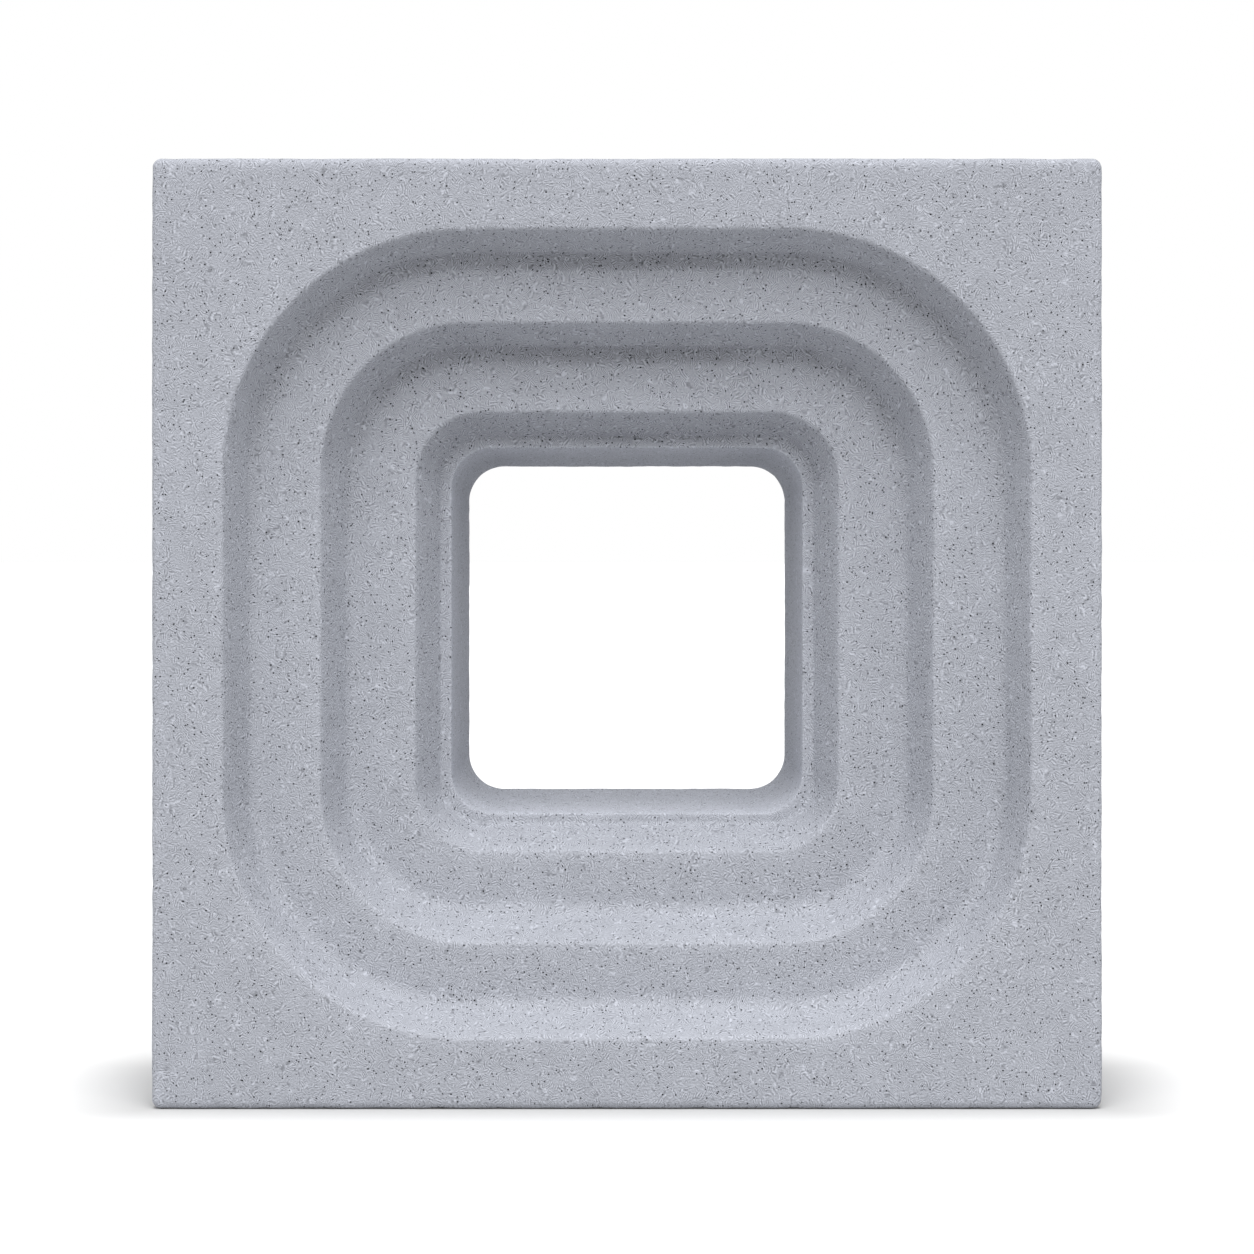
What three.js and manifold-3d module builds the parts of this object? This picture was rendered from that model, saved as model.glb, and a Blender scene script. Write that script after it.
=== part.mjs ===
// Concrete screen block: one square cast block with a recess that goes down in three rounded steps
// to an opening right through it.
//
// Frame, in millimetres: X along the width, Z up, and the stepped front faces -Y. The origin is the
// middle of the bottom bed, so the block stands on z = 0.

import * as THREE from 'three';
import { LoftGeometry } from 'three/addons/geometries/LoftGeometry.js';
import { mergeVertices } from 'three/addons/utils/BufferGeometryUtils.js';
import Module from 'manifold-3d';

// The block
const blockWidth = 290;
const blockHeight = 290;
const blockThickness = 90;
const blockCornerRadius = 3;
const arrisRadius = 2.4;

// The recess, from the front inwards. Each step is a flat ledge, as wide as given at the sides and
// at the beds, then a sloped riser: the corner radius of its upper edge, and how far it goes down
// and inwards.
const steps = [
  { sideLedge: 21.8, bedLedge: 21.8, cornerRadius: 74, drop: 15, run: 8 },
  { sideLedge: 20.6, bedLedge: 19.6, cornerRadius: 46, drop: 15, run: 8.4 },
  { sideLedge: 20.1, bedLedge: 18.7, cornerRadius: 21, drop: 13, run: 7.6 },
];
const noseRadius = 1.7;
const coveRadius = 4.2;

// The opening starts behind a last narrow ledge, and tapers towards the back.
const mouthSideLedge = 3.3;
const mouthBedLedge = 3.4;
const mouthCornerRadius = 12.6;
const mouthNoseRadius = 1;
const sideTaper = 3.9;
const bedTaper = 5.1;
const backCornerRadius = 11.2;
const backArrisRadius = 1.5;

// Facets along a quarter turn of an outline, and along each rounded edge
const recessCornerFacets = 12;
const blockCornerFacets = 4;
const edgeFacets = 3;

// How far the cutting body stands out past the faces that it cuts
const cutOverrun = 5;

// What keeps the points of an outline and of a section apart: the least corner radius of an outline,
// and the greatest share of a side that one rounded edge takes up
const leastCornerRadius = 0.5;
const greatestReachShare = 0.45;

// A rounded rectangle at a depth behind the front face, inside the block's outline by one inset at
// the sides and another at the beds, anticlockwise as seen from the front.
function outlineAt({ sideInset, bedInset, depth, cornerRadius }, facets) {
  const centreX = blockWidth / 2 - sideInset - cornerRadius;
  const centreZ = blockHeight / 2 - bedInset - cornerRadius;
  const points = [];
  for (let corner = 0; corner < 4; corner += 1) {
    const signX = corner === 0 || corner === 3 ? 1 : -1;
    const signZ = corner < 2 ? 1 : -1;
    for (let i = 0; i <= facets; i += 1) {
      const angle = (corner + i / facets) * Math.PI / 2;
      const x = signX * centreX + cornerRadius * Math.cos(angle);
      const z = signZ * centreZ + cornerRadius * Math.sin(angle);
      points.push(new THREE.Vector3(x, depth - blockThickness / 2, blockHeight / 2 + z));
    }
  }
  return points;
}

// A corner of a section through the side of the block, with the radius that rounds it.
function sectionCorner(sideInset, depth, radius = 0) {
  return { point: new THREE.Vector2(sideInset, depth), radius };
}

// Rounds each corner of an open section that has a radius, with an arc of straight facets. An arc
// that would reach too far along a side beside it gets a smaller radius.
function roundSection(corners) {
  return corners.flatMap(({ point, radius }, index) => {
    if (radius === 0) return [point];
    const toPrevious = corners[index - 1].point.clone().sub(point);
    const toNext = corners[index + 1].point.clone().sub(point);
    const greatestReach = Math.min(toPrevious.length(), toNext.length()) * greatestReachShare;
    toPrevious.normalize();
    toNext.normalize();
    const halfAngle = Math.acos(toPrevious.dot(toNext)) / 2;
    const reach = Math.min(radius / Math.tan(halfAngle), greatestReach);
    const toCentre = toPrevious.clone().add(toNext).setLength(reach / Math.cos(halfAngle));
    const centre = point.clone().add(toCentre);
    const first = point.clone().addScaledVector(toPrevious, reach).sub(centre);
    const last = point.clone().addScaledVector(toNext, reach).sub(centre);
    const sweep = Math.atan2(first.cross(last), first.dot(last));
    return Array.from({ length: edgeFacets + 1 }, (_, i) => (
      first.clone().rotateAround(new THREE.Vector2(), sweep * i / edgeFacets).add(centre)
    ));
  });
}

// The block without its recess, lofted from the back face to the front one.
function makeBody() {
  const middle = blockWidth / 2;
  const section = roundSection([
    sectionCorner(middle, blockThickness),
    sectionCorner(0, blockThickness, arrisRadius),
    sectionCorner(0, 0, arrisRadius),
    sectionCorner(middle, 0),
  ]).slice(1, -1);
  const outlines = section.map(({ x: inset, y: depth }) => {
    const cornerRadius = Math.max(blockCornerRadius - inset, leastCornerRadius);
    return outlineAt({ sideInset: inset, bedInset: inset, depth, cornerRadius }, blockCornerFacets);
  });
  return new LoftGeometry(outlines, { capStart: true, capEnd: true });
}

// The sharp edges of the recess and the opening, each an outline and the radius that rounds it.
function recessEdges() {
  const edges = [];
  let sideInset = 0;
  let bedInset = 0;
  let depth = 0;
  for (const { sideLedge, bedLedge, cornerRadius, drop, run } of steps) {
    sideInset += sideLedge;
    bedInset += bedLedge;
    edges.push({ sideInset, bedInset, depth, cornerRadius, radius: noseRadius });
    sideInset += run;
    bedInset += run;
    depth += drop;
    edges.push({ sideInset, bedInset, depth, cornerRadius: cornerRadius - run, radius: coveRadius });
  }
  sideInset += mouthSideLedge;
  bedInset += mouthBedLedge;
  edges.push({ sideInset, bedInset, depth, cornerRadius: mouthCornerRadius, radius: mouthNoseRadius });
  edges.push({
    sideInset: sideInset + sideTaper,
    bedInset: bedInset + bedTaper,
    depth: blockThickness,
    cornerRadius: backCornerRadius,
    radius: backArrisRadius,
  });
  return edges;
}

// The outline at a point of the rounded section, in proportion between the sharp edges around it.
function outlineBetween(edges, { x: sideInset, y: depth }) {
  const found = edges.findIndex((edge) => edge.sideInset > sideInset);
  const next = found < 0 ? edges.length - 1 : Math.max(found, 1);
  const from = edges[next - 1];
  const to = edges[next];
  const share = Math.max((sideInset - from.sideInset) / (to.sideInset - from.sideInset), 0);
  const between = (measure) => THREE.MathUtils.lerp(measure(from), measure(to), share);
  const bedInset = sideInset + between((edge) => edge.bedInset - edge.sideInset);
  return { sideInset, bedInset, depth, cornerRadius: between((edge) => edge.cornerRadius) };
}

// Everything that the recess and the opening take out of the block.
function makeRecess() {
  const edges = recessEdges();
  const section = roundSection([
    sectionCorner(0, 0),
    ...edges.map(({ sideInset, depth, radius }) => sectionCorner(sideInset, depth, radius)),
    sectionCorner(0, blockThickness),
  ]).slice(1, -1);
  const outlines = section.map((point) => outlineBetween(edges, point));
  outlines.unshift({ ...outlines[0], depth: -cutOverrun });
  outlines.push({ ...outlines[outlines.length - 1], depth: blockThickness + cutOverrun });
  const sections = outlines.map((outline) => outlineAt(outline, recessCornerFacets));
  return new LoftGeometry(sections.reverse(), { capStart: true, capEnd: true });
}

const wasm = await Module();
wasm.setup();

function toSolid(geometry) {
  const shape = new THREE.BufferGeometry();
  shape.setAttribute('position', geometry.attributes.position);
  shape.setIndex(geometry.index);
  const merged = mergeVertices(shape);
  return new wasm.Manifold(new wasm.Mesh({
    numProp: 3,
    vertProperties: new Float32Array(merged.attributes.position.array),
    triVerts: new Uint32Array(merged.index.array),
  }));
}

function toGeometry(solid) {
  const { vertProperties, triVerts } = solid.getMesh();
  const geometry = new THREE.BufferGeometry();
  geometry.setAttribute('position', new THREE.BufferAttribute(vertProperties, 3));
  geometry.setIndex(new THREE.BufferAttribute(triVerts, 1));
  geometry.computeVertexNormals();
  return geometry;
}

const concrete = new THREE.MeshStandardMaterial({ color: 0xacafb7, roughness: 0.92, metalness: 0 });

const cast = toSolid(makeBody()).subtract(toSolid(makeRecess()));
const block = new THREE.Mesh(toGeometry(cast), concrete);
block.name = 'screen_block';

const group = new THREE.Group();
group.add(block);
export default group;
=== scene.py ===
"""A concrete screen block: one cast block with a recess stepping down to an opening through it.

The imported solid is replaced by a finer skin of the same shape. The skin is a band of faces that
goes round the block's section: from the front border down the steps, through the opening, across
the back and along the outside to the front again. Its edges are rounded, then its surface is worn
and made uneven as cast concrete is. The material holds the grain that is too fine to model.
"""

import math

import bmesh
import bpy
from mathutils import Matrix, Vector, noise


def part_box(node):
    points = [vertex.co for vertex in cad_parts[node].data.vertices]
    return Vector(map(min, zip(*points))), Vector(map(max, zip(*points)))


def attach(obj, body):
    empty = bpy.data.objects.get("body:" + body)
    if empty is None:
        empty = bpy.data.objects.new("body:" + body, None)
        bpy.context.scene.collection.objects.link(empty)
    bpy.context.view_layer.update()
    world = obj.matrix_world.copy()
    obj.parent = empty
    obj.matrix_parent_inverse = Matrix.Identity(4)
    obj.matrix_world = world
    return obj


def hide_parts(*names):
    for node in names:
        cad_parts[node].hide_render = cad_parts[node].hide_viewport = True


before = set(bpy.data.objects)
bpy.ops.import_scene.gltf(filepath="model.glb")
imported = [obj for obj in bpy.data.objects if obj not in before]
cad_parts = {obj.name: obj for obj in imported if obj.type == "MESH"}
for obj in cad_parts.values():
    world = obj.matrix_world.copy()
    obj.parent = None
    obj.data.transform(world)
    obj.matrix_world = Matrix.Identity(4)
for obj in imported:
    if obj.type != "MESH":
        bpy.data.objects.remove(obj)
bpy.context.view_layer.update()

MM = 0.001

# The block's section in millimetres: each ledge's width at the sides and at the beds, the corner
# radius of the riser's upper edge, and the riser's drop and run.
STEPS = (
    (21.8, 21.8, 74.0, 15.0, 8.0),
    (20.6, 19.6, 46.0, 15.0, 8.4),
    (20.1, 18.7, 21.0, 13.0, 7.6),
)
MOUTH_SIDE_LEDGE = 3.3
MOUTH_BED_LEDGE = 3.4
MOUTH_CORNER = 12.6
SIDE_TAPER = 3.9
BED_TAPER = 5.1
BACK_CORNER = 11.2
BLOCK_CORNER = 3.0

# How far each rounding reaches along the faces beside its edge.
ARRIS = 2.4
NOSE = 1.0
COVE = 3.3
MOUTH_COVE = 1.0
MOUTH_NOSE = 0.8
BACK_ARRIS = 1.5

# The skin's points round an outline, the length that each corner counts as extra so that small
# corners get enough of them, the facets across a rounded edge and the spacing across the faces.
OUTLINE_POINTS = 720
CORNER_EXTRA = 12.0
EDGE_FACETS = 5
FACE_SPACING = 4.5

# The wear of the skin in millimetres, inwards: a broad swell, small lumps, and the bits that have
# come off the proud edges. An edge is fully proud or hollow if it bends by this angle round a
# vertex. The painted shade of the hollow edges spreads to the vertices beside it this many times.
SWELL_DEPTH = 0.12
SWELL_SIZE = 45.0
LUMP_DEPTH = 0.06
LUMP_SIZE = 6.0
LUMP_OCTAVES = 3
EDGE_DEPTH = 0.12
FULLY_PROUD = 0.5
COVE_SHADE_SPREADS = 4

# The concrete's grey, and the sizes in mm of what varies it: clouding, blotches, sand, the cells
# that each hold a pore and a drag mark's direction, a pore's rim and floor, and a mark's length.
CONCRETE_GREY = (0.361, 0.374, 0.415)
CLOUD_SIZE = 45.0
BLOTCH_SIZE = 6.0
SAND_SIZE = 0.6
GRAIN = 1.7
PORE_RADIUS = 0.33
PORE_FLOOR = 0.18
MARK_LENGTH = 1.2

# How quickly the drag marks follow each other, in radians a millimetre, how far and over what size
# in mm they bend, and the stretch of a noise about zero over which they come in.
MARK_TURN = 23.0
MARK_BEND = 6.5
BEND_SIZE = 2.2
MARK_STRETCH = (-0.2, 0.15)

# How much each of these lightens or darkens the grey.
CLOUD_TONE = 0.10
BLOTCH_TONE = 0.12
SAND_TONE = 0.35
MARK_TONE = 0.35
PORE_DARK = 0.95
WORN_PALE = 0.05
# Painted shade in the hollow coves above the middle: how much it darkens the grey.
COVE_PAINTED_SHADE = 0.45

# Painted light on the opening's walls: paler over one stretch of Y at the mouth, fading over another to a
# painted shade.
MOUTH_LIGHT_STRETCH = (-0.003, 0.0)
DEEP_SHADE_STRETCH = (-0.002, 0.028)
MOUTH_PAINTED_LIGHT = 0.24
DEEP_PAINTED_SHADE = 0.16

# The sand's relief in mm, and how the surface reflects.
SAND_RELIEF = 0.25
ROUGHNESS = 0.9
ROUGHNESS_SPREAD = 0.2
SPECULAR = 0.2

# The studio: the floor's half width, its white as seen and as it lights the block, and the reach
# and strength of the painted shadow where the block stands on it. Then the light from all round, how
# much of it is missing behind the block, the stretch of directions over which that comes in, and a tall
# soft light in front, as suns with their angles above the level and their strengths.
FLOOR_HALF = 40.0
FLOOR_SEEN = 0.9
FLOOR_BOUNCE = 0.50
CONTACT_REACH = 0.06
CONTACT_SHADE = 0.55
ALL_ROUND = 0.93
DIMMER_BEHIND = 0.4
BEHIND_STRETCH = (-0.2, 0.6)
TALL_LIGHT = ((68.0, 1.72), (44.0, 0.82))
SUN_SPREAD = 30.0

# The camera's distance in front of the block and its height, its lens in mm, and its frame's shift.
CAMERA_DISTANCE = 1.2
CAMERA_HEIGHT = 0.1713
CAMERA_LENS = 113.1
CAMERA_SHIFT = -0.0636


class Outline:
    """A loop that runs round the block, in mm: insets, corner radius, depth, and how it is rounded."""

    def __init__(self, side, bed, corner, depth, rounding):
        self.side = side
        self.bed = bed
        self.corner = corner
        self.depth = depth
        self.rounding = rounding

    def towards(self, other, share):
        """An outline at a share of the way to another one, with nothing to round."""
        pairs = zip(self.measures(), other.measures())
        return Outline(*(here + (there - here) * share for here, there in pairs), 0)

    def measures(self):
        return self.side, self.bed, self.corner, self.depth


def section_outlines(thickness):
    """The sharp edges in order from the front arris inwards, through and back outside."""
    outlines = [Outline(0.0, 0.0, BLOCK_CORNER, 0.0, ARRIS)]
    side = bed = depth = 0.0
    for side_ledge, bed_ledge, corner, drop, run in STEPS:
        side += side_ledge
        bed += bed_ledge
        outlines.append(Outline(side, bed, corner, depth, NOSE))
        side += run
        bed += run
        depth += drop
        outlines.append(Outline(side, bed, corner - run, depth, COVE))
    outlines[-1].rounding = MOUTH_COVE
    side += MOUTH_SIDE_LEDGE
    bed += MOUTH_BED_LEDGE
    outlines.append(Outline(side, bed, MOUTH_CORNER, depth, MOUTH_NOSE))
    side += SIDE_TAPER
    bed += BED_TAPER
    outlines.append(Outline(side, bed, BACK_CORNER, thickness, BACK_ARRIS))
    outlines.append(Outline(0.0, 0.0, BLOCK_CORNER, thickness, ARRIS))
    return outlines


def with_outlines_between(sharp):
    """The sharp edges with more outlines between them, about the face spacing apart."""
    outlines = []
    for start, end in zip(sharp, sharp[1:] + sharp[:1]):
        outlines.append(start)
        gap = math.dist((start.side, start.depth), (end.side, end.depth))
        count = round(gap / FACE_SPACING)
        for number in range(1, count):
            outlines.append(start.towards(end, number / count))
    return outlines


def outline_point(turn, half_width, half_height, corner):
    """The point of a rounded rectangle at a share of a turn from the middle of its right side."""
    quarter = min(int(turn * 4), 3)
    upright = quarter % 2 == 0
    half_along, half_across = (half_height, half_width) if upright else (half_width, half_height)
    arc = corner * math.pi / 2 + CORNER_EXTRA
    run_in = half_along - corner
    run_out = half_across - corner
    along = (turn * 4 - quarter) * (run_in + arc + run_out)
    if along < run_in:
        across, up = half_across, along
    elif along < run_in + arc:
        angle = (along - run_in) / arc * math.pi / 2
        across = run_out + corner * math.cos(angle)
        up = run_in + corner * math.sin(angle)
    else:
        across, up = run_out - (along - run_in - arc), half_along
    return ((across, up), (-up, across), (-across, -up), (up, -across))[quarter]


def place_ring(ring, outline, low, high):
    """Moves a ring of vertices onto an outline of the block."""
    centre = (low + high) / 2
    half = (high - low) / 2 / MM
    for index, vert in enumerate(ring):
        turn = index / len(ring)
        x, z = outline_point(turn, half.x - outline.side, half.z - outline.bed, outline.corner)
        vert.co = (centre.x + x * MM, low.y + outline.depth * MM, centre.z + z * MM)


def ring_edges(ring):
    """The edges that join the vertices of one ring."""
    members = set(ring)
    return list({edge for vert in ring for edge in vert.link_edges if edge.other_vert(vert) in members})


def next_ring(bm, ring):
    """Extrudes a ring of vertices, and gives the new ring in the same order."""
    made = bmesh.ops.extrude_edge_only(bm, edges=ring_edges(ring))["geom"]
    fresh = {item for item in made if isinstance(item, bmesh.types.BMVert)}
    return [next(e.other_vert(v) for e in v.link_edges if e.other_vert(v) in fresh) for v in ring]


def band_of_faces(bm, outlines, low, high):
    """Joins the outlines into one closed band, and gives each outline's edges."""
    ring = bmesh.ops.create_circle(bm, segments=OUTLINE_POINTS, radius=1.0)["verts"]
    rings = []
    for outline in outlines:
        if rings:
            ring = next_ring(bm, ring)
        place_ring(ring, outline, low, high)
        rings.append(ring)
    loops = [ring_edges(ring) for ring in rings]
    bmesh.ops.bridge_loops(bm, edges=loops[-1] + loops[0])
    return loops


def round_edges(bm, outlines, loops):
    """Rounds the sharp edges, each by its own reach."""
    for outline, loop in zip(outlines, loops):
        if outline.rounding == 0:
            continue
        bmesh.ops.bevel(
            bm,
            geom=loop,
            offset=outline.rounding * MM,
            offset_type="OFFSET",
            segments=EDGE_FACETS,
            profile=0.5,
            affect="EDGES",
            material=-1,
        )


def wear_surface(bm, middle):
    """Sinks the skin by a fraction of a millimetre, unevenly, and most along its proud edges.

    It also notes for the material where the skin is worn, where it is hollow above the middle and
    close by, which gets a painted shade, and how far it is turned in towards the middle, which
    carries the painted light and shade of the opening's walls.
    """
    worn = bm.verts.layers.float.new("worn")
    painted_cove_shade = bm.verts.layers.float.new("painted_cove_shade")
    turned_in = bm.verts.layers.float.new("turned_in")
    bm.normal_update()
    moves = []
    for vert in bm.verts:
        place = vert.co / MM
        bend = sum(edge.calc_face_angle_signed(0.0) for edge in vert.link_edges)
        proud = min(max(bend / FULLY_PROUD, 0.0), 1.0)
        hollow = min(max(-bend / FULLY_PROUD, 0.0), 1.0)
        lumps = 0.5 + noise.fractal(place / LUMP_SIZE, 1.0, 2.0, LUMP_OCTAVES)
        swell = 0.5 + noise.noise(place / SWELL_SIZE)
        sunk = SWELL_DEPTH * swell + LUMP_DEPTH * lumps + EDGE_DEPTH * proud * max(lumps, 0.0) ** 2
        vert[worn] = proud
        inwards = Vector((-vert.co.x, 0.0, middle - vert.co.z)).normalized()
        # Painted shade: hollow edges above the middle are marked to be darkened, then spread to their
        # neighbours.
        vert[painted_cove_shade] = hollow * max(-inwards.z, 0.0) ** 2
        vert[turned_in] = min(max(2.0 * vert.normal.dot(inwards), 0.0), 1.0)
        moves.append(vert.normal * -max(sunk, 0.0) * MM)
    for vert, move in zip(bm.verts, moves):
        vert.co += move
    for _ in range(COVE_SHADE_SPREADS):
        spread = [sum(edge.other_vert(vert)[painted_cove_shade] for edge in vert.link_edges) for vert in bm.verts]
        for vert, total in zip(bm.verts, spread):
            vert[painted_cove_shade] = (vert[painted_cove_shade] + total / len(vert.link_edges)) / 2


def cast_block(low, high):
    """The skin of the whole block, as one closed piece."""
    bm = bmesh.new()
    outlines = with_outlines_between(section_outlines((high.y - low.y) / MM))
    loops = band_of_faces(bm, outlines, low, high)
    round_edges(bm, outlines, loops)
    bmesh.ops.recalc_face_normals(bm, faces=bm.faces)
    wear_surface(bm, (low.z + high.z) / 2)
    mesh = bpy.data.meshes.new("cast_block")
    bm.to_mesh(mesh)
    bm.free()
    mesh.shade_smooth()
    block = bpy.data.objects.new("cast_block", mesh)
    bpy.context.scene.collection.objects.link(block)
    return block


class Wire:
    """The output of a node. Python's operators on it add Math nodes."""

    def __init__(self, recipe, socket):
        self.recipe = recipe
        self.socket = socket

    def math(self, operation, *others):
        return self.recipe.maths(operation, self, *others)

    def __add__(self, other):
        return self.recipe.maths("ADD", self, other)

    def __radd__(self, other):
        return self.recipe.maths("ADD", other, self)

    def __sub__(self, other):
        return self.recipe.maths("SUBTRACT", self, other)

    def __rsub__(self, other):
        return self.recipe.maths("SUBTRACT", other, self)

    def __mul__(self, other):
        return self.recipe.maths("MULTIPLY", self, other)

    def __rmul__(self, other):
        return self.recipe.maths("MULTIPLY", other, self)


class Recipe:
    """The nodes of a material or of the world."""

    def __init__(self, owner):
        owner.use_nodes = True
        self.tree = owner.node_tree

    def node(self, kind, settings=None, inputs=None, output=0):
        """Adds a node: its settings first, then its sockets set or linked."""
        made = self.tree.nodes.new(kind)
        for name, setting in (settings or {}).items():
            setattr(made, name, setting)
        self.fill(made, inputs or {})
        return Wire(self, made.outputs[output])

    def fill(self, node, inputs):
        """Sets or links the sockets of a node."""
        for name, given in inputs.items():
            if isinstance(given, Wire):
                self.tree.links.new(given.socket, node.inputs[name])
            else:
                node.inputs[name].default_value = given

    def maths(self, operation, *terms):
        return self.node("ShaderNodeMath", {"operation": operation}, dict(enumerate(terms)))

    def noise(self, place, size, detail=0.0):
        """Smooth noise about zero, with features of a size in mm."""
        inputs = {"Vector": place, "Scale": 1 / (size * MM), "Detail": detail}
        return self.node("ShaderNodeTexNoise", inputs=inputs) - 0.5

    def step(self, value, start, end):
        """Goes smoothly from 0 to 1 as the value goes from start to end."""
        settings = {"interpolation_type": "SMOOTHSTEP"}
        inputs = {"Value": value, "From Min": start, "From Max": end}
        return self.node("ShaderNodeMapRange", settings, inputs)

    def cells(self, place, size):
        """Scattered cells, their size in mm: the distance from a cell's middle, its own direction."""
        inputs = {"Vector": place, "Scale": 1 / (size * MM)}
        distance = self.node("ShaderNodeTexVoronoi", inputs=inputs, output="Distance")
        colour = Wire(self, distance.socket.node.outputs["Color"])
        centred = {0: colour, 1: (0.5, 0.5, 0.5)}
        return distance, self.node("ShaderNodeVectorMath", {"operation": "SUBTRACT"}, centred)


def cast_concrete():
    """Grey dry-cast concrete: sandy grain, short curved drag marks, pores and faint clouding.

    It has a painted shade in the hollow coves above the middle, and a painted light at the mouth of
    the opening that fades to a painted shade farther in.
    """
    material = bpy.data.materials.new("cast_concrete")
    recipe = Recipe(material)
    place = recipe.node("ShaderNodeTexCoord", output="Object")
    worn = recipe.node("ShaderNodeAttribute", {"attribute_name": "worn"}, output="Fac")
    # The painted shade of the hollow coves above the middle.
    painted_cove_shade = recipe.node("ShaderNodeAttribute", {"attribute_name": "painted_cove_shade"}, output="Fac")
    turned_in = recipe.node("ShaderNodeAttribute", {"attribute_name": "turned_in"}, output="Fac")
    clouds = recipe.noise(place, CLOUD_SIZE, detail=2.0)
    blotches = recipe.noise(place, BLOTCH_SIZE)
    sand = recipe.noise(place, SAND_SIZE)
    distance, lie = recipe.cells(place, GRAIN)
    winding = recipe.noise(place, BEND_SIZE) * MARK_BEND
    along = recipe.node("ShaderNodeVectorMath", {"operation": "DOT_PRODUCT"}, {0: place, 1: lie}, "Value")
    marks = (along * (MARK_TURN / MM) + winding).math("SINE")
    marks = marks * recipe.step(recipe.noise(place, MARK_LENGTH), *MARK_STRETCH)
    pores = recipe.step(distance, PORE_RADIUS / GRAIN, PORE_FLOOR / GRAIN)
    depth = recipe.node("ShaderNodeSeparateXYZ", inputs={"Vector": place}, output="Y")
    # Painted light at the mouth and painted shade deeper in, on the faces turned in towards the middle.
    painted_mouth_light = recipe.step(depth, *MOUTH_LIGHT_STRETCH)
    painted_deep_shade = recipe.step(depth, *DEEP_SHADE_STRETCH)
    # The painted light and shade of the opening and the coves are summed here with the concrete's own
    # tones.
    shade = (
        1.0
        + turned_in * (painted_mouth_light * MOUTH_PAINTED_LIGHT - painted_deep_shade * DEEP_PAINTED_SHADE)
        + clouds * CLOUD_TONE
        + blotches * BLOTCH_TONE
        + sand * SAND_TONE
        + marks * MARK_TONE
        + worn * WORN_PALE
        - painted_cove_shade * COVE_PAINTED_SHADE
        - pores * PORE_DARK
    )
    colour = recipe.node(
        "ShaderNodeVectorMath", {"operation": "SCALE"}, {0: CONCRETE_GREY, "Scale": shade}
    )
    bump = recipe.node("ShaderNodeBump", inputs={"Height": sand, "Distance": SAND_RELIEF * MM})
    recipe.fill(
        recipe.tree.nodes["Principled BSDF"],
        {
            "Base Color": colour,
            "Roughness": ROUGHNESS + sand * ROUGHNESS_SPREAD,
            "Specular IOR Level": SPECULAR,
            "Normal": bump,
        },
    )
    return material


def studio_white(half_width, half_thickness):
    """The floor's white, with a painted shadow close to the block. It sends on less light than it shows.
    """
    material = bpy.data.materials.new("studio_white")
    recipe = Recipe(material)
    shader = recipe.tree.nodes["Principled BSDF"]
    place = recipe.node("ShaderNodeTexCoord", output="Object")
    gap = 0.0
    for axis, half in (("X", half_width), ("Y", half_thickness)):
        along = recipe.node("ShaderNodeSeparateXYZ", inputs={"Vector": place}, output=axis)
        beyond = (along.math("ABSOLUTE") - half).math("MAXIMUM", 0.0)
        gap = gap + beyond * beyond
    openness = recipe.step(gap.math("SQRT"), -CONTACT_REACH / 2, CONTACT_REACH)
    seen = Wire(recipe, shader.outputs[0])
    recipe.fill(
        shader,
        {
            # Painted shadow: the floor's colour darkens close to the block's footprint.
            "Base Color": FLOOR_SEEN * (1.0 - CONTACT_SHADE + CONTACT_SHADE * openness),
            "Roughness": 1.0,
            "Specular IOR Level": 0.0,
        },
    )
    bounce = recipe.node(
        "ShaderNodeBsdfDiffuse", inputs={"Color": (FLOOR_BOUNCE, FLOOR_BOUNCE, FLOOR_BOUNCE, 1.0)}
    )
    looking = recipe.node("ShaderNodeLightPath", output="Is Camera Ray")
    mixed = recipe.node("ShaderNodeMixShader", inputs={0: looking, 1: bounce, 2: seen})
    recipe.fill(recipe.tree.nodes["Material Output"], {"Surface": mixed})
    return material


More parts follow.
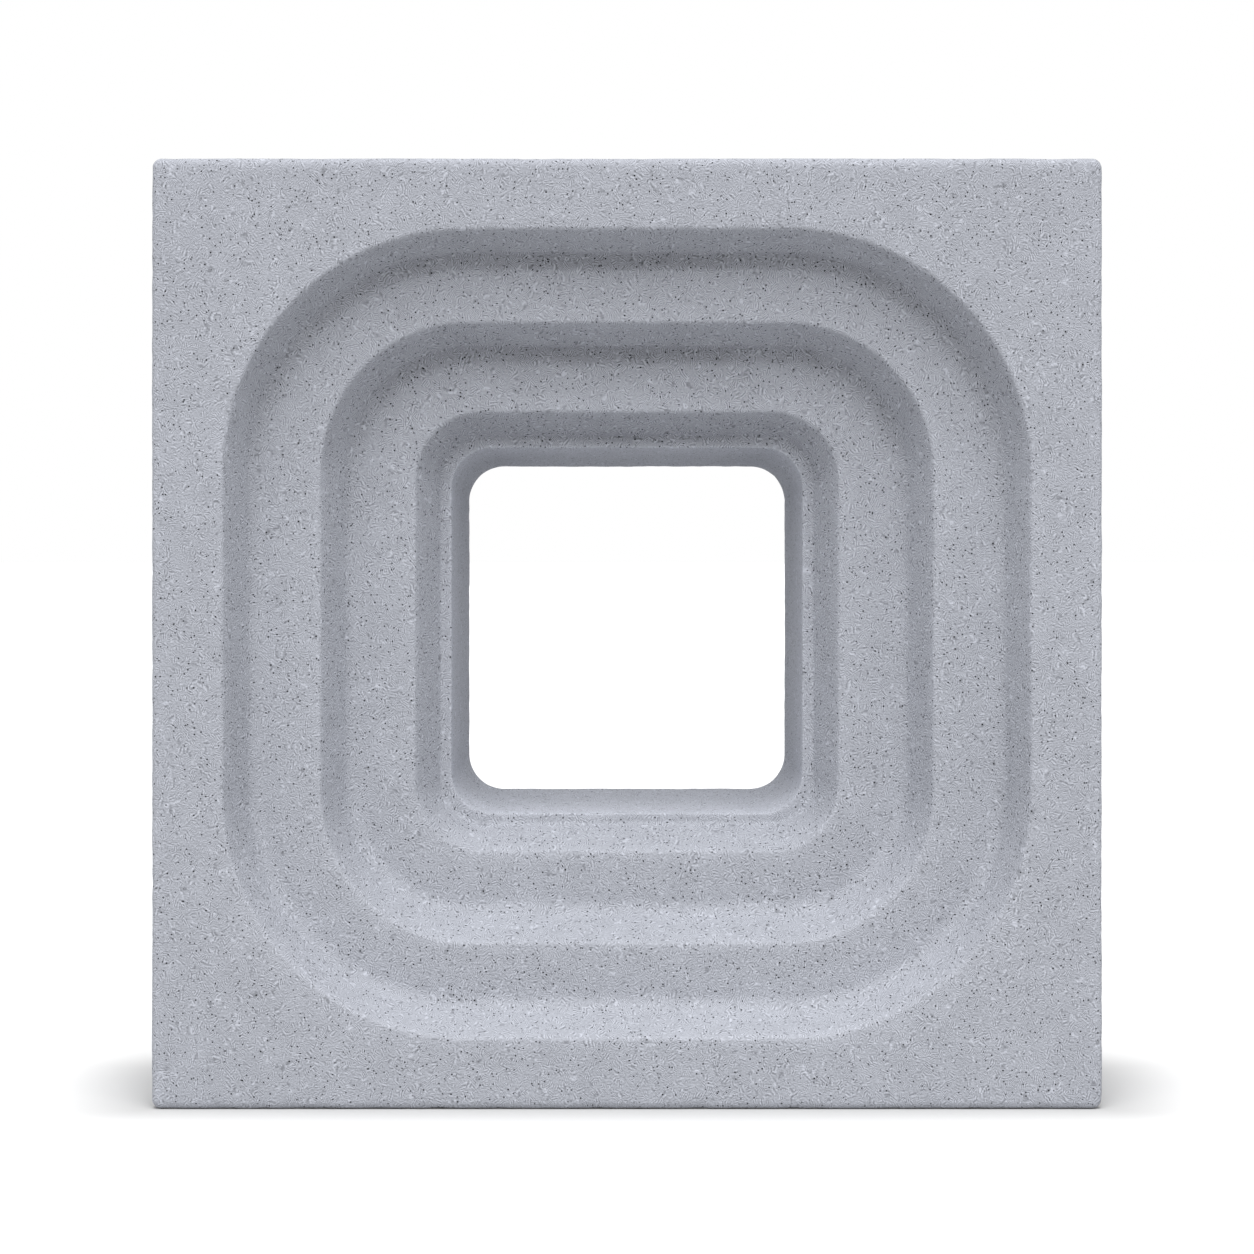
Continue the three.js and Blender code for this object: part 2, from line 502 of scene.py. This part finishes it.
def studio_floor(high):
    bm = bmesh.new()
    bmesh.ops.create_grid(bm, x_segments=1, y_segments=1, size=FLOOR_HALF)
    mesh = bpy.data.meshes.new("studio_floor")
    bm.to_mesh(mesh)
    bm.free()
    mesh.materials.append(studio_white(high.x, high.y))
    floor = bpy.data.objects.new("studio_floor", mesh)
    bpy.context.scene.collection.objects.link(floor)


def light_studio():
    """White air whose light is dimmer behind the block, and a tall soft light in front and above."""
    scene = bpy.context.scene
    scene.view_settings.view_transform = "Standard"
    world = bpy.data.worlds.new("studio_air")
    scene.world = world
    recipe = Recipe(world)
    white = {"Color": (1.0, 1.0, 1.0, 1.0)}
    direction = recipe.node("ShaderNodeTexCoord", output="Generated")
    backwards = recipe.node("ShaderNodeSeparateXYZ", inputs={"Vector": direction}, output="Y")
    strength = ALL_ROUND - DIMMER_BEHIND * recipe.step(backwards, *BEHIND_STRETCH)
    light = recipe.node("ShaderNodeBackground", inputs={**white, "Strength": strength})
    backdrop = recipe.node("ShaderNodeBackground", inputs=white)
    looking = recipe.node("ShaderNodeLightPath", output="Is Camera Ray")
    mixed = recipe.node("ShaderNodeMixShader", inputs={0: looking, 1: light, 2: backdrop})
    recipe.fill(recipe.tree.nodes["World Output"], {"Surface": mixed})
    for elevation, energy in TALL_LIGHT:
        sun = bpy.data.lights.new("tall_light", "SUN")
        sun.energy = energy
        sun.angle = math.radians(SUN_SPREAD)
        lamp = bpy.data.objects.new("tall_light", sun)
        lamp.rotation_euler = (math.radians(90.0 - elevation), 0.0, 0.0)
        scene.collection.objects.link(lamp)


def aim_camera(low):
    """Level and square to the front; the shift frames the block without tilting the view."""
    camera = bpy.data.cameras.new("camera")
    camera.sensor_width = 36.0
    camera.lens = CAMERA_LENS
    camera.shift_y = CAMERA_SHIFT
    mounted = bpy.data.objects.new("camera", camera)
    mounted.location = (0.0, low.y - CAMERA_DISTANCE, CAMERA_HEIGHT)
    mounted.rotation_euler = (math.pi / 2, 0.0, 0.0)
    bpy.context.scene.collection.objects.link(mounted)
    bpy.context.scene.camera = mounted


def build():
    low, high = (Vector(corner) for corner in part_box("screen_block"))
    block = cast_block(low, high)
    block.data.materials.append(cast_concrete())
    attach(block, "root")
    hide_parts("screen_block")
    studio_floor(high)
    light_studio()
    aim_camera(low)


build()
